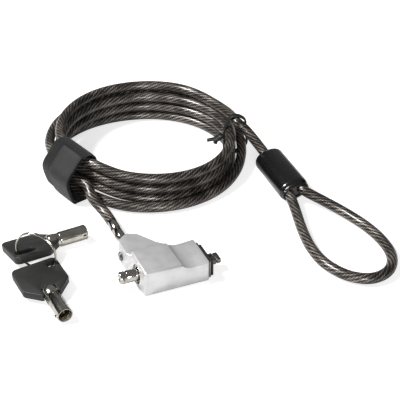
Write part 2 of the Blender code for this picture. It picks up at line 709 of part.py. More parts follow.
def build():
    start_scene()
    jacket = make_material("smoked_pvc_jacket", (0.035, 0.03, 0.028), 0.35, 0.0)
    casting = make_material("zinc_casting", (0.68, 0.68, 0.68), 0.38, 0.9)
    chrome = make_material("bright_chrome", (0.78, 0.77, 0.75), 0.12, 1.0)
    steel = make_material("dark_steel", (0.35, 0.34, 0.32), 0.3, 1.0)
    brass = make_material("brass", (0.72, 0.55, 0.28), 0.3, 1.0)
    nickel = make_material("nickel_plate", (0.72, 0.7, 0.65), 0.2, 1.0)
    rubber = make_material("black_rubber", (0.012, 0.012, 0.012), 0.45, 0.0)
    plastic = make_material("moulded_plastic", (0.055, 0.055, 0.055), 0.5, 0.0)
    fabric = make_material("woven_strap", (0.04, 0.04, 0.04), 0.85, 0.0)
    aluminium = make_material("aluminium_crimp", (0.6, 0.6, 0.6), 0.4, 1.0)
    make_cable(jacket)
    make_sleeve(rubber, aluminium)
    make_strap_and_tie(fabric, rubber)
    make_housing(casting)
    make_head_fittings(steel, chrome, rubber, brass)
    make_plunger_and_t_bar(chrome, steel)
    make_cable_fitting(chrome)
    make_keys(plastic, nickel, steel)
    hang_pieces()


build()
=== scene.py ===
from math import cos, pi, radians, sin

import bmesh
import bpy
import numpy as np
from mathutils import Euler, Matrix, Vector


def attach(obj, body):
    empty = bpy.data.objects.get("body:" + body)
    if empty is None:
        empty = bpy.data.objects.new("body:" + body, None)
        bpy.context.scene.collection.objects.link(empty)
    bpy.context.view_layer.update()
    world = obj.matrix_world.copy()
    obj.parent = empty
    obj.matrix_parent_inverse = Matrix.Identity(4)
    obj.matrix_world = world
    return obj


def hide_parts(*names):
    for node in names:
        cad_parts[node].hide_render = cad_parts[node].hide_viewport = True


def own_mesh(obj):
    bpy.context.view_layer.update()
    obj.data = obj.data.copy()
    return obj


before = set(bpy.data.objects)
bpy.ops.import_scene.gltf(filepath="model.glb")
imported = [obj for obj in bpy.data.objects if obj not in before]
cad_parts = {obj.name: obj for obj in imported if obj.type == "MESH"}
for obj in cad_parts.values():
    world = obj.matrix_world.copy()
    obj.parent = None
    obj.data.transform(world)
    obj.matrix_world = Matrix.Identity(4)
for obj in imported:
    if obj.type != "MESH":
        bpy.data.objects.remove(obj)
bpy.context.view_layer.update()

# Laptop cable lock on a pale floor. Lengths are in millimetres until they go into a mesh.
mm = 0.001


# ---- small helpers

def toLinear(hexColour):
    channels = [int(hexColour[i:i + 2], 16) / 255 for i in (1, 3, 5)]
    return (*[c / 12.92 if c <= 0.04045 else ((c + 0.055) / 1.055) ** 2.4 for c in channels], 1)


def smooth(x):
    x = min(max(x, 0.0), 1.0)
    return x * x * (3 - 2 * x)


def addNode(tree, kind, settings=None, inputs=None):
    node = tree.nodes.new("ShaderNode" + kind)
    for key, value in (settings or {}).items():
        setattr(node, key, value)
    for key, value in (inputs or {}).items():
        if isinstance(value, bpy.types.NodeSocket):
            tree.links.new(value, node.inputs[key])
        else:
            node.inputs[key].default_value = value
    return node


def startMaterial(name):
    material = bpy.data.materials.new(name)
    material.use_nodes = True
    return material, material.node_tree, material.node_tree.nodes["Principled BSDF"]


def colourRamp(tree, factor, stops):
    ramp = addNode(tree, "ValToRGB", inputs={"Fac": factor})
    elements = ramp.color_ramp.elements
    while len(elements) < len(stops):
        elements.new(0.5)
    for element, (position, colour) in zip(elements, stops):
        element.position = position
        element.color = toLinear(colour)
    return ramp.outputs["Color"]


def mathNode(tree, operation, a, b=0.0):
    return addNode(tree, "Math", {"operation": operation}, {0: a, 1: b}).outputs[0]


def weighted(tree, first, share, second, otherShare):
    return mathNode(tree, "ADD", mathNode(tree, "MULTIPLY", first, share),
                    mathNode(tree, "MULTIPLY", second, otherShare))


def noise(tree, sizeMm, detail=3.0, roughness=0.5, stretch=(1, 1, 1)):
    where = addNode(tree, "TexCoord").outputs["Object"]
    if stretch != (1, 1, 1):
        where = addNode(tree, "Mapping", inputs={"Vector": where, "Scale": stretch}).outputs[0]
    return addNode(tree, "TexNoise", inputs={
        "Vector": where, "Scale": 1 / (sizeMm * mm), "Detail": detail, "Roughness": roughness}).outputs["Fac"]


def remap(tree, value, low, high, fromLow=0.3, fromHigh=0.7):
    return addNode(tree, "MapRange", inputs={
        "Value": value, "From Min": fromLow, "From Max": fromHigh, "To Min": low, "To Max": high}).outputs[0]


def bumpNode(tree, height, depthMm, strength):
    return addNode(tree, "Bump", inputs={
        "Height": height, "Distance": depthMm * mm, "Strength": strength}).outputs[0]


def link(piece):
    bpy.context.scene.collection.objects.link(piece)
    return piece


def meshFrom(name, bm):
    bmesh.ops.recalc_face_normals(bm, faces=bm.faces)
    mesh = bpy.data.meshes.new(name)
    bm.to_mesh(mesh)
    bm.free()
    return link(bpy.data.objects.new(name, mesh))


def bake(piece):
    graph = bpy.context.evaluated_depsgraph_get()
    mesh = bpy.data.meshes.new_from_object(piece.evaluated_get(graph))
    piece.modifiers.clear()
    piece.data = mesh
    return piece


def bevel(piece, widthMm, segments=3, angle=30):
    modifier = piece.modifiers.new("edges", "BEVEL")
    modifier.width = widthMm * mm
    modifier.segments = segments
    modifier.limit_method = "ANGLE"
    modifier.angle_limit = radians(angle)
    return piece


def combine(piece, operation, *others):
    for other in others:
        modifier = piece.modifiers.new(operation.lower(), "BOOLEAN")
        modifier.operation = operation
        modifier.solver = "EXACT"
        modifier.object = other
    bake(piece)
    for other in others:
        bpy.data.objects.remove(other, do_unlink=True)
    return piece


def block(name, low, high):
    bm = bmesh.new()
    bmesh.ops.create_cube(bm, size=1.0)
    bmesh.ops.scale(bm, vec=[(b - a) * mm for a, b in zip(low, high)], verts=bm.verts)
    bmesh.ops.translate(bm, vec=[(a + b) / 2 * mm for a, b in zip(low, high)], verts=bm.verts)
    return meshFrom(name, bm)


def lathe(name, profile, sides=64):
    # the profile is (radius, height), turned about Z
    bm = bmesh.new()
    verts = [bm.verts.new((r * mm, 0, z * mm)) for r, z in profile]
    edges = [bm.edges.new(pair) for pair in zip(verts, verts[1:])]
    bmesh.ops.spin(bm, geom=verts + edges, cent=(0, 0, 0), axis=(0, 0, 1), angle=2 * pi,
                   steps=sides, use_merge=True)
    bmesh.ops.remove_doubles(bm, verts=bm.verts, dist=1e-6)
    return meshFrom(name, bm)


def rod(name, start, end, radius, sides=48):
    start, end = Vector(start), Vector(end)
    length = (end - start).length
    piece = lathe(name, [(0, 0), (radius, 0), (radius, length), (0, length)], sides)
    turn = Vector((0, 0, 1)).rotation_difference(end - start).to_matrix().to_4x4()
    piece.data.transform(Matrix.Translation(start * mm) @ turn)
    return piece


def slab(name, outline, low, high):
    bm = bmesh.new()
    face = bm.faces.new([bm.verts.new((x * mm, y * mm, low * mm)) for x, y in outline])
    lifted = bmesh.ops.extrude_face_region(bm, geom=[face])["geom"]
    bmesh.ops.translate(bm, vec=(0, 0, (high - low) * mm),
                        verts=[v for v in lifted if isinstance(v, bmesh.types.BMVert)])
    return meshFrom(name, bm)


def fillet(corners, steps=6):
    # corners are (x, y, radius); each one becomes an arc
    outline = []
    for i, (x, y, radius) in enumerate(corners):
        here = Vector((x, y))
        before = (Vector(corners[i - 1][:2]) - here).normalized()
        after = (Vector(corners[(i + 1) % len(corners)][:2]) - here).normalized()
        half = before.angle(after) / 2
        reach = radius / np.tan(half)
        middle = here + (before + after).normalized() * (radius / sin(half))
        start, end = here + before * reach - middle, here + after * reach - middle
        for step in range(steps + 1):
            part = start.lerp(end, step / steps)
            outline.append(tuple(middle + part.normalized() * radius))
    return outline


def evenRoute(route, spacing):
    # a smooth curve through the points, cut at even steps
    knots = [np.array(p, float) for p in route]
    knots = [2 * knots[0] - knots[1]] + knots + [2 * knots[-1] - knots[-2]]
    fine = []
    for a, b, c, d in zip(knots, knots[1:], knots[2:], knots[3:]):
        for t in np.linspace(0, 1, 20, endpoint=False):
            fine.append(0.5 * (2 * b + (c - a) * t + (2 * a - 5 * b + 4 * c - d) * t * t
                               + (3 * b - a - 3 * c + d) * t ** 3))
    return evenPoints(fine + [knots[-2]], spacing)


def evenPoints(points, spacing):
    points = np.array(points, float)
    run = np.concatenate([[0], np.cumsum(np.linalg.norm(np.diff(points, axis=0), axis=1))])
    spots = np.linspace(0, run[-1], max(2, int(round(run[-1] / spacing)) + 1))
    return np.stack([np.interp(spots, run, points[:, k]) for k in range(3)], 1)


def relax(points, rounds):
    points = points.copy()
    for _ in range(rounds):
        points[1:-1] = points[1:-1] / 2 + (points[:-2] + points[2:]) / 4
    return points


def sweep(name, points, section, closed=False, up=None):
    # a section of (out, side) offsets carried along the points, with UV in turns and millimetres
    points = np.array(points, float)
    count, sides = len(points), len(section)
    ahead, behind = np.roll(points, -1, 0), np.roll(points, 1, 0)
    if not closed:
        ahead[-1], behind[0] = points[-1], points[0]
    tangents = ahead - behind
    tangents /= np.linalg.norm(tangents, axis=1)[:, None]
    normal = np.cross(tangents[0], (0.3, 0.2, 0.93))
    normals = []
    for tangent in tangents:
        if up is not None:
            normal = np.cross(tangent, up)
        normal = normal - tangent * (normal @ tangent)
        normal = normal / np.linalg.norm(normal)
        normals.append(normal)
    if closed and up is None:
        last = normals[-1] - tangents[0] * (normals[-1] @ tangents[0])
        drift = np.arctan2(np.cross(normals[0], last) @ tangents[0], normals[0] @ last)
        for i in range(count):
            turn = -drift * i / count
            side = np.cross(tangents[i], normals[i])
            normals[i] = normals[i] * cos(turn) + side * sin(turn)
    run = np.concatenate([[0], np.cumsum(np.linalg.norm(np.diff(points, axis=0), axis=1))])
    bm = bmesh.new()
    uv = bm.loops.layers.uv.new("run")
    rings = []
    for i in range(count):
        side = np.cross(tangents[i], normals[i])
        rings.append([bm.verts.new((points[i] + (normals[i] * a + side * b)) * mm) for a, b in section])
    for i in range(count if closed else count - 1):
        k = (i + 1) % count
        end = run[k] if k else run[-1] + np.linalg.norm(points[0] - points[-1])
        for j in range(sides):
            m = (j + 1) % sides
            face = bm.faces.new((rings[i][j], rings[i][m], rings[k][m], rings[k][j]))
            for loop, place in zip(face.loops, ((j, run[i]), (j + 1, run[i]), (j + 1, end), (j, end))):
                loop[uv].uv = (place[0] / sides, place[1])
    if not closed:
        bm.faces.new(rings[0])
        bm.faces.new(rings[-1])
    return meshFrom(name, bm)


def circle(radius, sides):
    return [(radius * cos(2 * pi * i / sides), radius * sin(2 * pi * i / sides)) for i in range(sides)]


def show(piece, body, material, slotName, *nodes, sharp=40):
    if sharp:
        piece.data.shade_smooth()
        piece.data.set_sharp_from_angle(angle=radians(sharp))
    piece.data.materials.clear()
    piece.data.materials.append(material)
    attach(piece, body)
    if nodes:
        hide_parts(*nodes)
    return piece


def alongX(piece, x, y, z):
    # what was turned about Z now lies along X
    piece.matrix_world = Matrix.Translation(Vector((x, y, z)) * mm) @ Matrix.Rotation(pi / 2, 4, "Y")
    return piece


# ---- camera

# in metres; placed from the edges of the lock head
view = {"lens": 99, "sensor": 36, "nearest": 0.01,
        "place": (-0.16507, -0.43579, 0.35710), "target": (0.04313, 0.06195, 0.0)}

camera = link(bpy.data.objects.new("camera", bpy.data.cameras.new("camera")))
camera.data.lens = view["lens"]
camera.data.sensor_width = view["sensor"]
camera.data.clip_start = view["nearest"]
camera.location = view["place"]
aim = Vector(view["target"]) - camera.location
camera.rotation_euler = aim.to_track_quat("-Z", "Y").to_euler()
bpy.context.scene.camera = camera
bpy.context.scene.view_settings.view_transform = "Standard"
print("camera done")


# ---- cable: steel strands under a smoked clear sheath

# gap is painted shade between the strands, and light is a painted highlight on their crests
cable = {
    "diameter": 6.0, "sides": 24, "spacing": 2.0, "lay": 40.0, "strands": 9, "wireLay": 17.0, "wires": 15,
    "gap": "#080707", "dark": "#1a1816", "middle": "#4b4743", "light": "#cdc8c2", "tint": "#d9cfc6",
}
# the pile: angles in degrees, pitch is the height of a layer, side is how far the first lap lies outside
coil = {
    "centre": (30.1, 116.7), "radius": 52.3, "pitch": 6.6, "side": 6.6, "turns": 4.602,
    "start": 206.0, "strapAngle": 196.5, "strapLift": 1.9, "tieAngle": -16.0, "tieLift": 1.2, "perLoop": 96,
    "firstLapIn": 2.6, "leadDip": 3.0, "lastLapOut": 3.5, "tailOut": 4.5,
}
head = {
    "length": 36.0, "depth": 22.4, "height": 14.6, "edge": 1.3, "axisZ": 7.0,
    "barY": -1.5, "barZ": 6.0, "pivotY": 20.0, "pivotZ": 5.5, "eyeX": -14.6, "relief": 22,
}
ferrule = {"start": 32.9, "length": 20.1}
sleeve = {
    "far": (95.3, 79.5, 7.4), "near": (93.6, 38.5, 7.4), "width": 18.0, "thickness": 13.4,
    "roll": 14.0, "spacing": 8.2, "crimp": 24.0, "shoulder": 3.2, "squareness": 0.88, "clear": 0.12,
    "boreFrom": 13.0, "lip": 0.75, "collar": 0.7,
}
sleeve["length"] = (Vector(sleeve["far"]) - Vector(sleeve["near"])).length


def smokedJacket():
    # extruded clear PVC, smoked: a gloss coat over twisted strands, whose wires are drawn coarser than real;
    # their colour holds painted shade in the grooves between strands and a painted highlight along the crests
    material, tree, shader = startMaterial("smoked_pvc_over_steel_strands")
    place = addNode(tree, "UVMap", {"uv_map": "run"}).outputs[0]
    parts = addNode(tree, "SeparateXYZ", inputs={0: place})
    turn, run = parts.outputs[0], parts.outputs[1]

    def stripes(count, lay):
        phase = weighted(tree, turn, count, run, count / lay)
        return mathNode(tree, "ABSOLUTE", mathNode(tree, "SINE", mathNode(tree, "MULTIPLY", phase, pi)))

    strand = stripes(cable["strands"], cable["lay"])
    wire = stripes(cable["wires"], cable["wireLay"])
    blotch = noise(tree, 9, 3)
    strandShadeAndHighlight = weighted(tree, strand, 0.45, wire, 0.42)
    strandShadeAndHighlight = mathNode(tree, "ADD", strandShadeAndHighlight, remap(tree, blotch, -0.14, 0.12))
    # painted shade in the grooves between strands and painted highlight on their crests, with random blotches
    # of tone
    colour = colourRamp(tree, strandShadeAndHighlight, [
        (0.12, cable["gap"]), (0.38, cable["dark"]), (0.68, cable["middle"]), (0.95, cable["light"])])
    height = weighted(tree, strand, 0.8, wire, 0.2)
    tree.links.new(colour, shader.inputs["Base Color"])
    tree.links.new(bumpNode(tree, height, 0.35, 0.8), shader.inputs["Normal"])
    shader.inputs["Metallic"].default_value = 0.55
    shader.inputs["Roughness"].default_value = 0.42
    shader.inputs["Coat Weight"].default_value = 0.6
    shader.inputs["Coat Roughness"].default_value = 0.22
    shader.inputs["Coat Tint"].default_value = toLinear(cable["tint"])
    return material


def hump(lap, start, rise, end, fall):
    return smooth((lap - start) / rise) * (1 - smooth((lap - end) / fall))


def coilPoints():
    # the first lap comes in high and drops to the floor outside the pile, the later ones climb one on another
    def degreesFrom(lap, angle):
        return abs((coil["start"] - 360 * lap - angle + 180) % 360 - 180)

    points = []
    for lap in np.linspace(0, coil["turns"], int(coil["turns"] * coil["perLoop"])):
        angle = radians(coil["start"] - 360 * lap)
        radius = coil["radius"]
        height = cable["diameter"] / 2
        for layer in (1, 2, 3):
            height += coil["pitch"] * smooth((lap - layer - 0.72) / 0.34)
        height += 2 * coil["pitch"] * (1 - smooth((lap - 0.43) / 0.345))
        radius += coil["side"] * (1 - smooth((lap - 1.13) / 0.245))
        radius -= coil["firstLapIn"] * hump(lap, 0.80, 0.2, 1.04, 0.14)
        height -= coil["leadDip"] * max(0.0, 1 - lap / 0.08)
        radius += coil["lastLapOut"] * hump(lap, 4.12, 0.2, 4.42, 0.12)
        radius += coil["tailOut"] * smooth((lap - 4.50) / 0.2)
        height += coil["strapLift"] * (1 - smooth((degreesFrom(lap, coil["strapAngle"]) - 17) / 26))
        height += coil["tieLift"] * (1 - smooth((degreesFrom(lap, coil["tieAngle"]) - 6) / 18))
        x = coil["centre"][0] + radius * cos(angle)
        y = coil["centre"][1] + radius * sin(angle)
        points.append((x, y, height))
    return points


def sleeveMatrix():
    near, far = Vector(sleeve["near"]), Vector(sleeve["far"])
    along = (far - near).normalized()
    across = Vector((0, 0, 1)).cross(along).normalized() * -1
    up = along.cross(across)
    roll = radians(sleeve["roll"])
    across, up = across * cos(roll) - up * sin(roll), across * sin(roll) + up * cos(roll)
    return Matrix.Translation((near + far) / 2) @ Matrix((across, up, along)).transposed().to_4x4()


def inSleeve(x, y, z):
    return tuple(sleeveMatrix() @ Vector((x, y, z)))


def mainRoute():
    ends = coilPoints()
    into = np.array(ends[0]) - np.array(ends[1])
    into = into / np.linalg.norm(into)
    out = np.array(ends[-1]) - np.array(ends[-2])
    out = out / np.linalg.norm(out)
    mouth = ferrule["start"] + ferrule["length"]
    lead = [(head["eyeX"], mouth - 1.0, head["pivotZ"]), (head["eyeX"], mouth + 6.3, head["pivotZ"]),
            (-16.0, 64.8, 6.9), (-18.2, 70.6, 9.4), (-20.0, 76.0, 12.0),
            tuple(np.array(ends[0]) + into * 12), tuple(np.array(ends[0]) + into * 5), ends[0]]
    tail = [ends[-1], tuple(np.array(ends[-1]) + out * 5), tuple(np.array(ends[-1]) + out * 9.3),
            (87.4, 97.2, 20.6), (91.0, 91.6, 15.2), (94.3, 85.6, 9.8),
            inSleeve(0, 0, sleeve["length"] / 2 + 1), inSleeve(0, 0, sleeve["crimp"] / 2 + 1)]
    points = list(evenRoute(lead, 1.0))[:-1] + ends[1:-1] + list(evenRoute(tail, 1.0))
    return relax(evenPoints(points, cable["spacing"]), 6)


def loopRoute():
    half, inside, lip = sleeve["spacing"] / 2, -sleeve["crimp"] / 2 - 1, -sleeve["length"] / 2 - 1
    route = [
        inSleeve(-half, 0, inside), inSleeve(-half, 0, lip),
        (86.9, 24.0, 4.0), (82.6, 8.0, 3.2), (79.2, -9.0, 3.2), (79.4, -25.0, 3.2),
        (85.5, -39.5, 3.2), (96.0, -46.5, 3.2), (107.5, -44.0, 3.2), (115.6, -34.0, 3.2),
        (118.4, -20.0, 3.2), (117.4, -4.0, 3.2), (112.6, 12.0, 3.8), (105.6, 26.0, 5.4),
        inSleeve(half, 0, lip), inSleeve(half, 0, inside)]
    return relax(evenRoute(route, cable["spacing"]), 3)


def lengthOf(points):
    return float(np.linalg.norm(np.diff(points, axis=0), axis=1).sum()) * mm


jacket = smokedJacket()
mainPath, loopPath = mainRoute(), loopRoute()
round6 = circle(cable["diameter"] / 2, cable["sides"])
mainCable = sweep("main_cable", mainPath, round6)
show(mainCable, "cable", jacket, "jacket", "cable_lead", "cable_coil", "cable_tail", sharp=60)
eyeLoop = sweep("eye_loop", loopPath, round6)
show(eyeLoop, "cable", jacket, "jacket", "cable_loop", sharp=60)
print("cable done: %.3f m and %.3f m" % (lengthOf(mainPath), lengthOf(loopPath)))


# ---- materials of the small pieces

def metal(name, colour, darker, roughness, grainMm, grainDepthMm, stretch=(1, 1, 1), metallic=1.0):
    material, tree, shader = startMaterial(name)
    fine = noise(tree, grainMm, 4, 0.6, stretch)
    broad = noise(tree, 7, 2)
    tree.links.new(colourRamp(tree, broad, [(0.3, darker), (0.65, colour)]), shader.inputs["Base Color"])
    tree.links.new(remap(tree, fine, roughness - 0.08, roughness + 0.08), shader.inputs["Roughness"])
    tree.links.new(bumpNode(tree, fine, grainDepthMm, 0.5), shader.inputs["Normal"])
    shader.inputs["Metallic"].default_value = metallic
    return material


def plastic(name, colour, darker, roughness, grainMm, grainDepthMm, coat=0.0):
    material, tree, shader = startMaterial(name)
    fine = noise(tree, grainMm, 4, 0.6)
    broad = noise(tree, 6, 3)
    tree.links.new(colourRamp(tree, broad, [(0.3, darker), (0.7, colour)]), shader.inputs["Base Color"])
    tree.links.new(remap(tree, fine, roughness - 0.06, roughness + 0.06), shader.inputs["Roughness"])
    tree.links.new(bumpNode(tree, fine, grainDepthMm, 0.6), shader.inputs["Normal"])
    shader.inputs["IOR"].default_value = 1.5
    shader.inputs["Coat Weight"].default_value = coat
    return material


# die-cast zinc under silver lacquer: pale and satin, with a soft grain
casting = metal("satin_silver_lacquered_casting", "#dcdcdc", "#cecece", 0.36, 0.5, 0.03, metallic=0.6)
# chrome and nickel plate: mirror-like and faintly warm, the nickel a little softer
chrome = metal("polished_chrome", "#c9c6c0", "#b4b0a9", 0.12, 0.4, 0.003)
nickel = metal("nickel_plated_steel", "#cdc9c1", "#b0aba1", 0.17, 0.35, 0.004)
# turned steel and brass: fine streaks, drawn coarser than real
steel = metal("blued_turned_steel", "#8b8884", "#5f5c58", 0.28, 0.3, 0.004, (1, 8, 1))
brass = metal("turned_brass", "#c9a35f", "#a98245", 0.3, 0.3, 0.004, (1, 8, 1))
# pressed aluminium: grey and dull
aluminium = metal("pressed_aluminium", "#c4c4c2", "#a5a5a3", 0.4, 0.5, 0.01)
# moulded vinyl: smooth black with a gloss coat
sleeveVinyl = plastic("glossy_black_vinyl", "#0d0d0d", "#080808", 0.24, 0.5, 0.006, coat=0.5)
# moulded rubber and plastic, and the tie's coating: black and matt, the key grips a shade greyer
padRubber = plastic("moulded_black_rubber", "#0c0c0c", "#070707", 0.6, 0.3, 0.01)
keyPlastic = plastic("moulded_key_plastic", "#1d1d1c", "#151514", 0.5, 0.22, 0.015)
tiePlastic = plastic("coated_twist_tie", "#0c0c0c", "#060606", 0.5, 0.4, 0.02)


# ---- loop sleeve

def makeSleeve():
    half, shoulder = sleeve["length"] / 2, sleeve["shoulder"]
    steps, sides = 10, 64
    spots = []
    for step in range(steps + 1):
        angle = pi / 2 * step / steps
        spots.append((-half + shoulder * (1 - sin(angle)), -shoulder * (1 - cos(angle))))
    rings = sorted(spots + [(-z, inset) for z, inset in spots])
    bm = bmesh.new()
    loops = []
    for z, inset in rings:
        loop = []
        for j in range(sides):
            angle = 2 * pi * j / sides
            c, s = cos(angle), sin(angle)
            x = (sleeve["width"] / 2 + inset) * np.sign(c) * abs(c) ** sleeve["squareness"]
            y = (sleeve["thickness"] / 2 + inset) * np.sign(s) * abs(s) ** sleeve["squareness"]
            loop.append(bm.verts.new((x * mm, y * mm, z * mm)))
        loops.append(loop)
    for a, b in zip(loops, loops[1:]):
        for j in range(sides):
            k = (j + 1) % sides
            bm.faces.new((a[j], a[k], b[k], b[j]))
    bm.faces.new(loops[0])
    bm.faces.new(loops[-1])
    body = meshFrom("loop_sleeve_body", bm)
    hole = cable["diameter"] / 2 + sleeve["clear"]
    gap = sleeve["spacing"] / 2
    cuts = [rod("cut", (0, 0, sleeve["boreFrom"]), (0, 0, half + 4), hole)]
    for x in (-gap, gap):
        cuts.append(rod("cut", (x, 0, -sleeve["boreFrom"]), (x, 0, -half - 4), hole))
    combine(body, "DIFFERENCE", *cuts)
    place = sleeveMatrix()
    body.matrix_world = Matrix.Translation(place.to_translation() * mm) @ place.to_3x3().to_4x4()
    show(body, "cable", sleeveVinyl, "sleeve", "loop_sleeve")
    lipPath = []
    for i in range(64):
        angle = 2 * pi * i / 64
        x = gap * np.sign(cos(angle)) * min(1.0, abs(cos(angle)) * 1.6) + (hole + 0.5) * cos(angle)
        lipPath.append(inSleeve(x, (hole + 0.5) * sin(angle), -half - 0.1))
    lip = sweep("sleeve_lip", lipPath, circle(sleeve["lip"], 12), closed=True)
    show(lip, "cable", sleeveVinyl, "sleeve", sharp=60)
    collarPath = [inSleeve((hole + 0.6) * cos(a), (hole + 0.6) * sin(a), half + 0.1)
                  for a in np.linspace(0, 2 * pi, 48, endpoint=False)]
    collar = sweep("sleeve_collar", collarPath, circle(sleeve["collar"], 12), closed=True)
    show(collar, "cable", sleeveVinyl, "sleeve", sharp=60)
    return [body, lip, collar]


sleevePieces = makeSleeve()
print("sleeve done")


# ---- strap and tie

strap = {"angle": coil["strapAngle"], "width": 28.0, "layer": 1.1, "clear": 0.35, "slack": 3.4, "softness": 8,
         "standOff": 0.45, "aboveFloor": 0.1, "flapWidth": 19.0, "flapShift": -4.6,
         "flapFrom": -56, "flapTo": 62, "flapStandOff": 0.5, "flapLayer": 1.55, "slackAt": 12}
tie = {"angle": coil["tieAngle"], "width": 3.2, "layer": 1.25, "clear": 0.2, "twists": 2.6, "twisted": 0.62,
       "tailLength": 6.5, "tailDrop": 4.0, "tailBelowTop": 10.0, "tailOff": 2.2, "spread": 1.1, "splay": 2.0,
       "tail": (1.7, 2.4)}


def bandMatrix(angle):
    # a frame across the pile: x outward, y up, z along the cable
    turn = radians(angle)
    outward, up = Vector((cos(turn), sin(turn), 0)), Vector((0, 0, 1))
    return Matrix.Translation((*coil["centre"], 0)) @ \
        Matrix((outward, up, outward.cross(up))).transposed().to_4x4()


def bandSpots(matrix, width):
    back = matrix.inverted()
    spots = [back @ Vector(p) for p in mainPath]
    return [Vector((p.x, p.y)) for p in spots if abs(p.z) < width / 2 + 1.5 and p.x > 0]


def bandPath(matrix, spots, away, start=0.0, end=360.0, steps=90, slack=0.0):
    # pulled round the cable; away is the distance of the layer's middle from the sheath
    path = []
    count = int(steps * (end - start) / 360)
    for step in range(count + (end - start < 360)):
        angle = radians(start + (end - start) * step / count)
        way = Vector((cos(angle), sin(angle)))
        best = max(spots, key=way.dot)
        loose = slack * max(0.0, cos(angle + radians(strap["slackAt"]))) ** 2
        flat = best + way * (cable["diameter"] / 2 + away + loose)
        path.append(tuple(matrix @ Vector((flat.x, flat.y, 0))))
    return path


def slacken(path, outward, closed):
    # corners soften and the band stands a little off the cable, as cloth does
    points = evenPoints(path + path[:1] if closed else path, 1.2)
    points = points[:-1] if closed else points
    for _ in range(strap["softness"]):
        ahead, behind = np.roll(points, -1, 0), np.roll(points, 1, 0)
        if not closed:
            ahead[-1], behind[0] = points[-1], points[0]
        points = points / 2 + (ahead + behind) / 4
    away = points - points.mean(0)
    points = points + away / np.linalg.norm(away, axis=1)[:, None] * outward
    points[:, 2] = np.maximum(points[:, 2], strap["layer"] / 2 + strap["aboveFloor"])
    return points


def ribbon(thickness, width):
    # an oblong section with rounded edges
    section = []
    for i in range(24):
        angle = 2 * pi * i / 24
        c, s = cos(angle), sin(angle)
        section.append((thickness / 2 * np.sign(c) * abs(c) ** 0.5, width / 2 * np.sign(s) * abs(s) ** 0.35))
    return section


def pileMaterial():
    # knitted nylon loops: deep matt black with small grey tufts
    material, tree, shader = startMaterial("hook_and_loop_pile")
    tuft = noise(tree, 0.7, 6, 0.75)
    broad = noise(tree, 3.0, 3)
    mixed = weighted(tree, tuft, 0.7, broad, 0.3)
    tree.links.new(colourRamp(tree, mixed, [(0.35, "#040404"), (0.55, "#0c0c0c"), (0.72, "#262626")]),
                   shader.inputs["Base Color"])
    tree.links.new(bumpNode(tree, mixed, 0.8, 1.0), shader.inputs["Normal"])
    shader.inputs["Roughness"].default_value = 0.92
    shader.inputs["Specular IOR Level"].default_value = 0.3
    shader.inputs["Sheen Weight"].default_value = 0.1
    return material


def flapMaterial():
    # woven nylon: flat dark grey with fine ribs
    material, tree, shader = startMaterial("smooth_nylon_webbing")
    place = addNode(tree, "UVMap", {"uv_map": "run"}).outputs[0]
    parts = addNode(tree, "SeparateXYZ", inputs={0: place})
    ribs = mathNode(tree, "SINE", mathNode(tree, "MULTIPLY", parts.outputs[1], 2 * pi / 0.55))
    cross = mathNode(tree, "SINE", mathNode(tree, "MULTIPLY", parts.outputs[0], 2 * pi * 70))
    weave = mathNode(tree, "MULTIPLY", ribs, cross)
    broad = noise(tree, 4.0, 4)
    tree.links.new(colourRamp(tree, broad, [(0.3, "#101010"), (0.7, "#181818")]), shader.inputs["Base Color"])
    tree.links.new(bumpNode(tree, weave, 0.05, 0.7), shader.inputs["Normal"])
    shader.inputs["Roughness"].default_value = 0.62
    shader.inputs["Specular IOR Level"].default_value = 0.35
    shader.inputs["Sheen Weight"].default_value = 0.05
    return material


def makeStrap():
    matrix = bandMatrix(strap["angle"])
    spots = bandSpots(matrix, strap["width"])
    side = tuple(matrix.to_3x3() @ Vector((0, 0, 1)))
    layer = strap["layer"]
    inner = bandPath(matrix, spots, strap["clear"] + layer / 2, slack=strap["slack"])
    wrap = sweep("strap_wrap", slacken(inner, strap["standOff"], True), ribbon(layer, strap["width"]),
                 closed=True, up=side)
    show(wrap, "cable", pileMaterial(), "strap", "strap", sharp=0)
    outer = bandPath(matrix, spots, strap["clear"] + layer * strap["flapLayer"], strap["flapFrom"],
                     strap["flapTo"], slack=strap["slack"])
    outer = slacken(outer, strap["flapStandOff"], False) + np.array(side) * strap["flapShift"]
    flap = sweep("strap_flap", outer, ribbon(layer, strap["flapWidth"]), up=side)
    show(flap, "cable", flapMaterial(), "strap", sharp=50)
    return [wrap, flap]


def makeTie():
    matrix = bandMatrix(tie["angle"])
    spots = bandSpots(matrix, tie["width"])
    side = tuple(matrix.to_3x3() @ Vector((0, 0, 1)))
    loop = bandPath(matrix, spots, tie["clear"] + tie["layer"] / 2)
    band = sweep("tie_band", loop, ribbon(tie["layer"], tie["width"]), closed=True, up=side)
    show(band, "cable", tiePlastic, "pad", "tie", sharp=50)
    pieces = [band]
    low, high = min(s.x for s in spots), max(s.y for s in spots)
    for turn in (0, 1):
        ends = []
        for i in range(34):
            part = i / 33
            loose = max(0.0, part - tie["twisted"]) / (1 - tie["twisted"])
            angle = pi * turn + 2 * pi * tie["twists"] * min(part / tie["twisted"], 1)
            spread = tie["spread"] + tie["splay"] * loose
            x = low - cable["diameter"] / 2 - tie["tailOff"] - tie["tailLength"] * part
            y = high - tie["tailBelowTop"] - tie["tailDrop"] * part
            ends.append(tuple(matrix @ Vector((x + spread * cos(angle) * 0.8, y, spread * sin(angle) * 1.3))))
        tail = sweep("tie_tail_%d" % (turn + 1), ends, ribbon(*tie["tail"]))
        show(tail, "cable", tiePlastic, "pad", sharp=50)
        pieces.append(tail)
    return pieces


strapPieces = makeStrap()
tiePieces = makeTie()
print("strap and tie done")


# ---- lock head

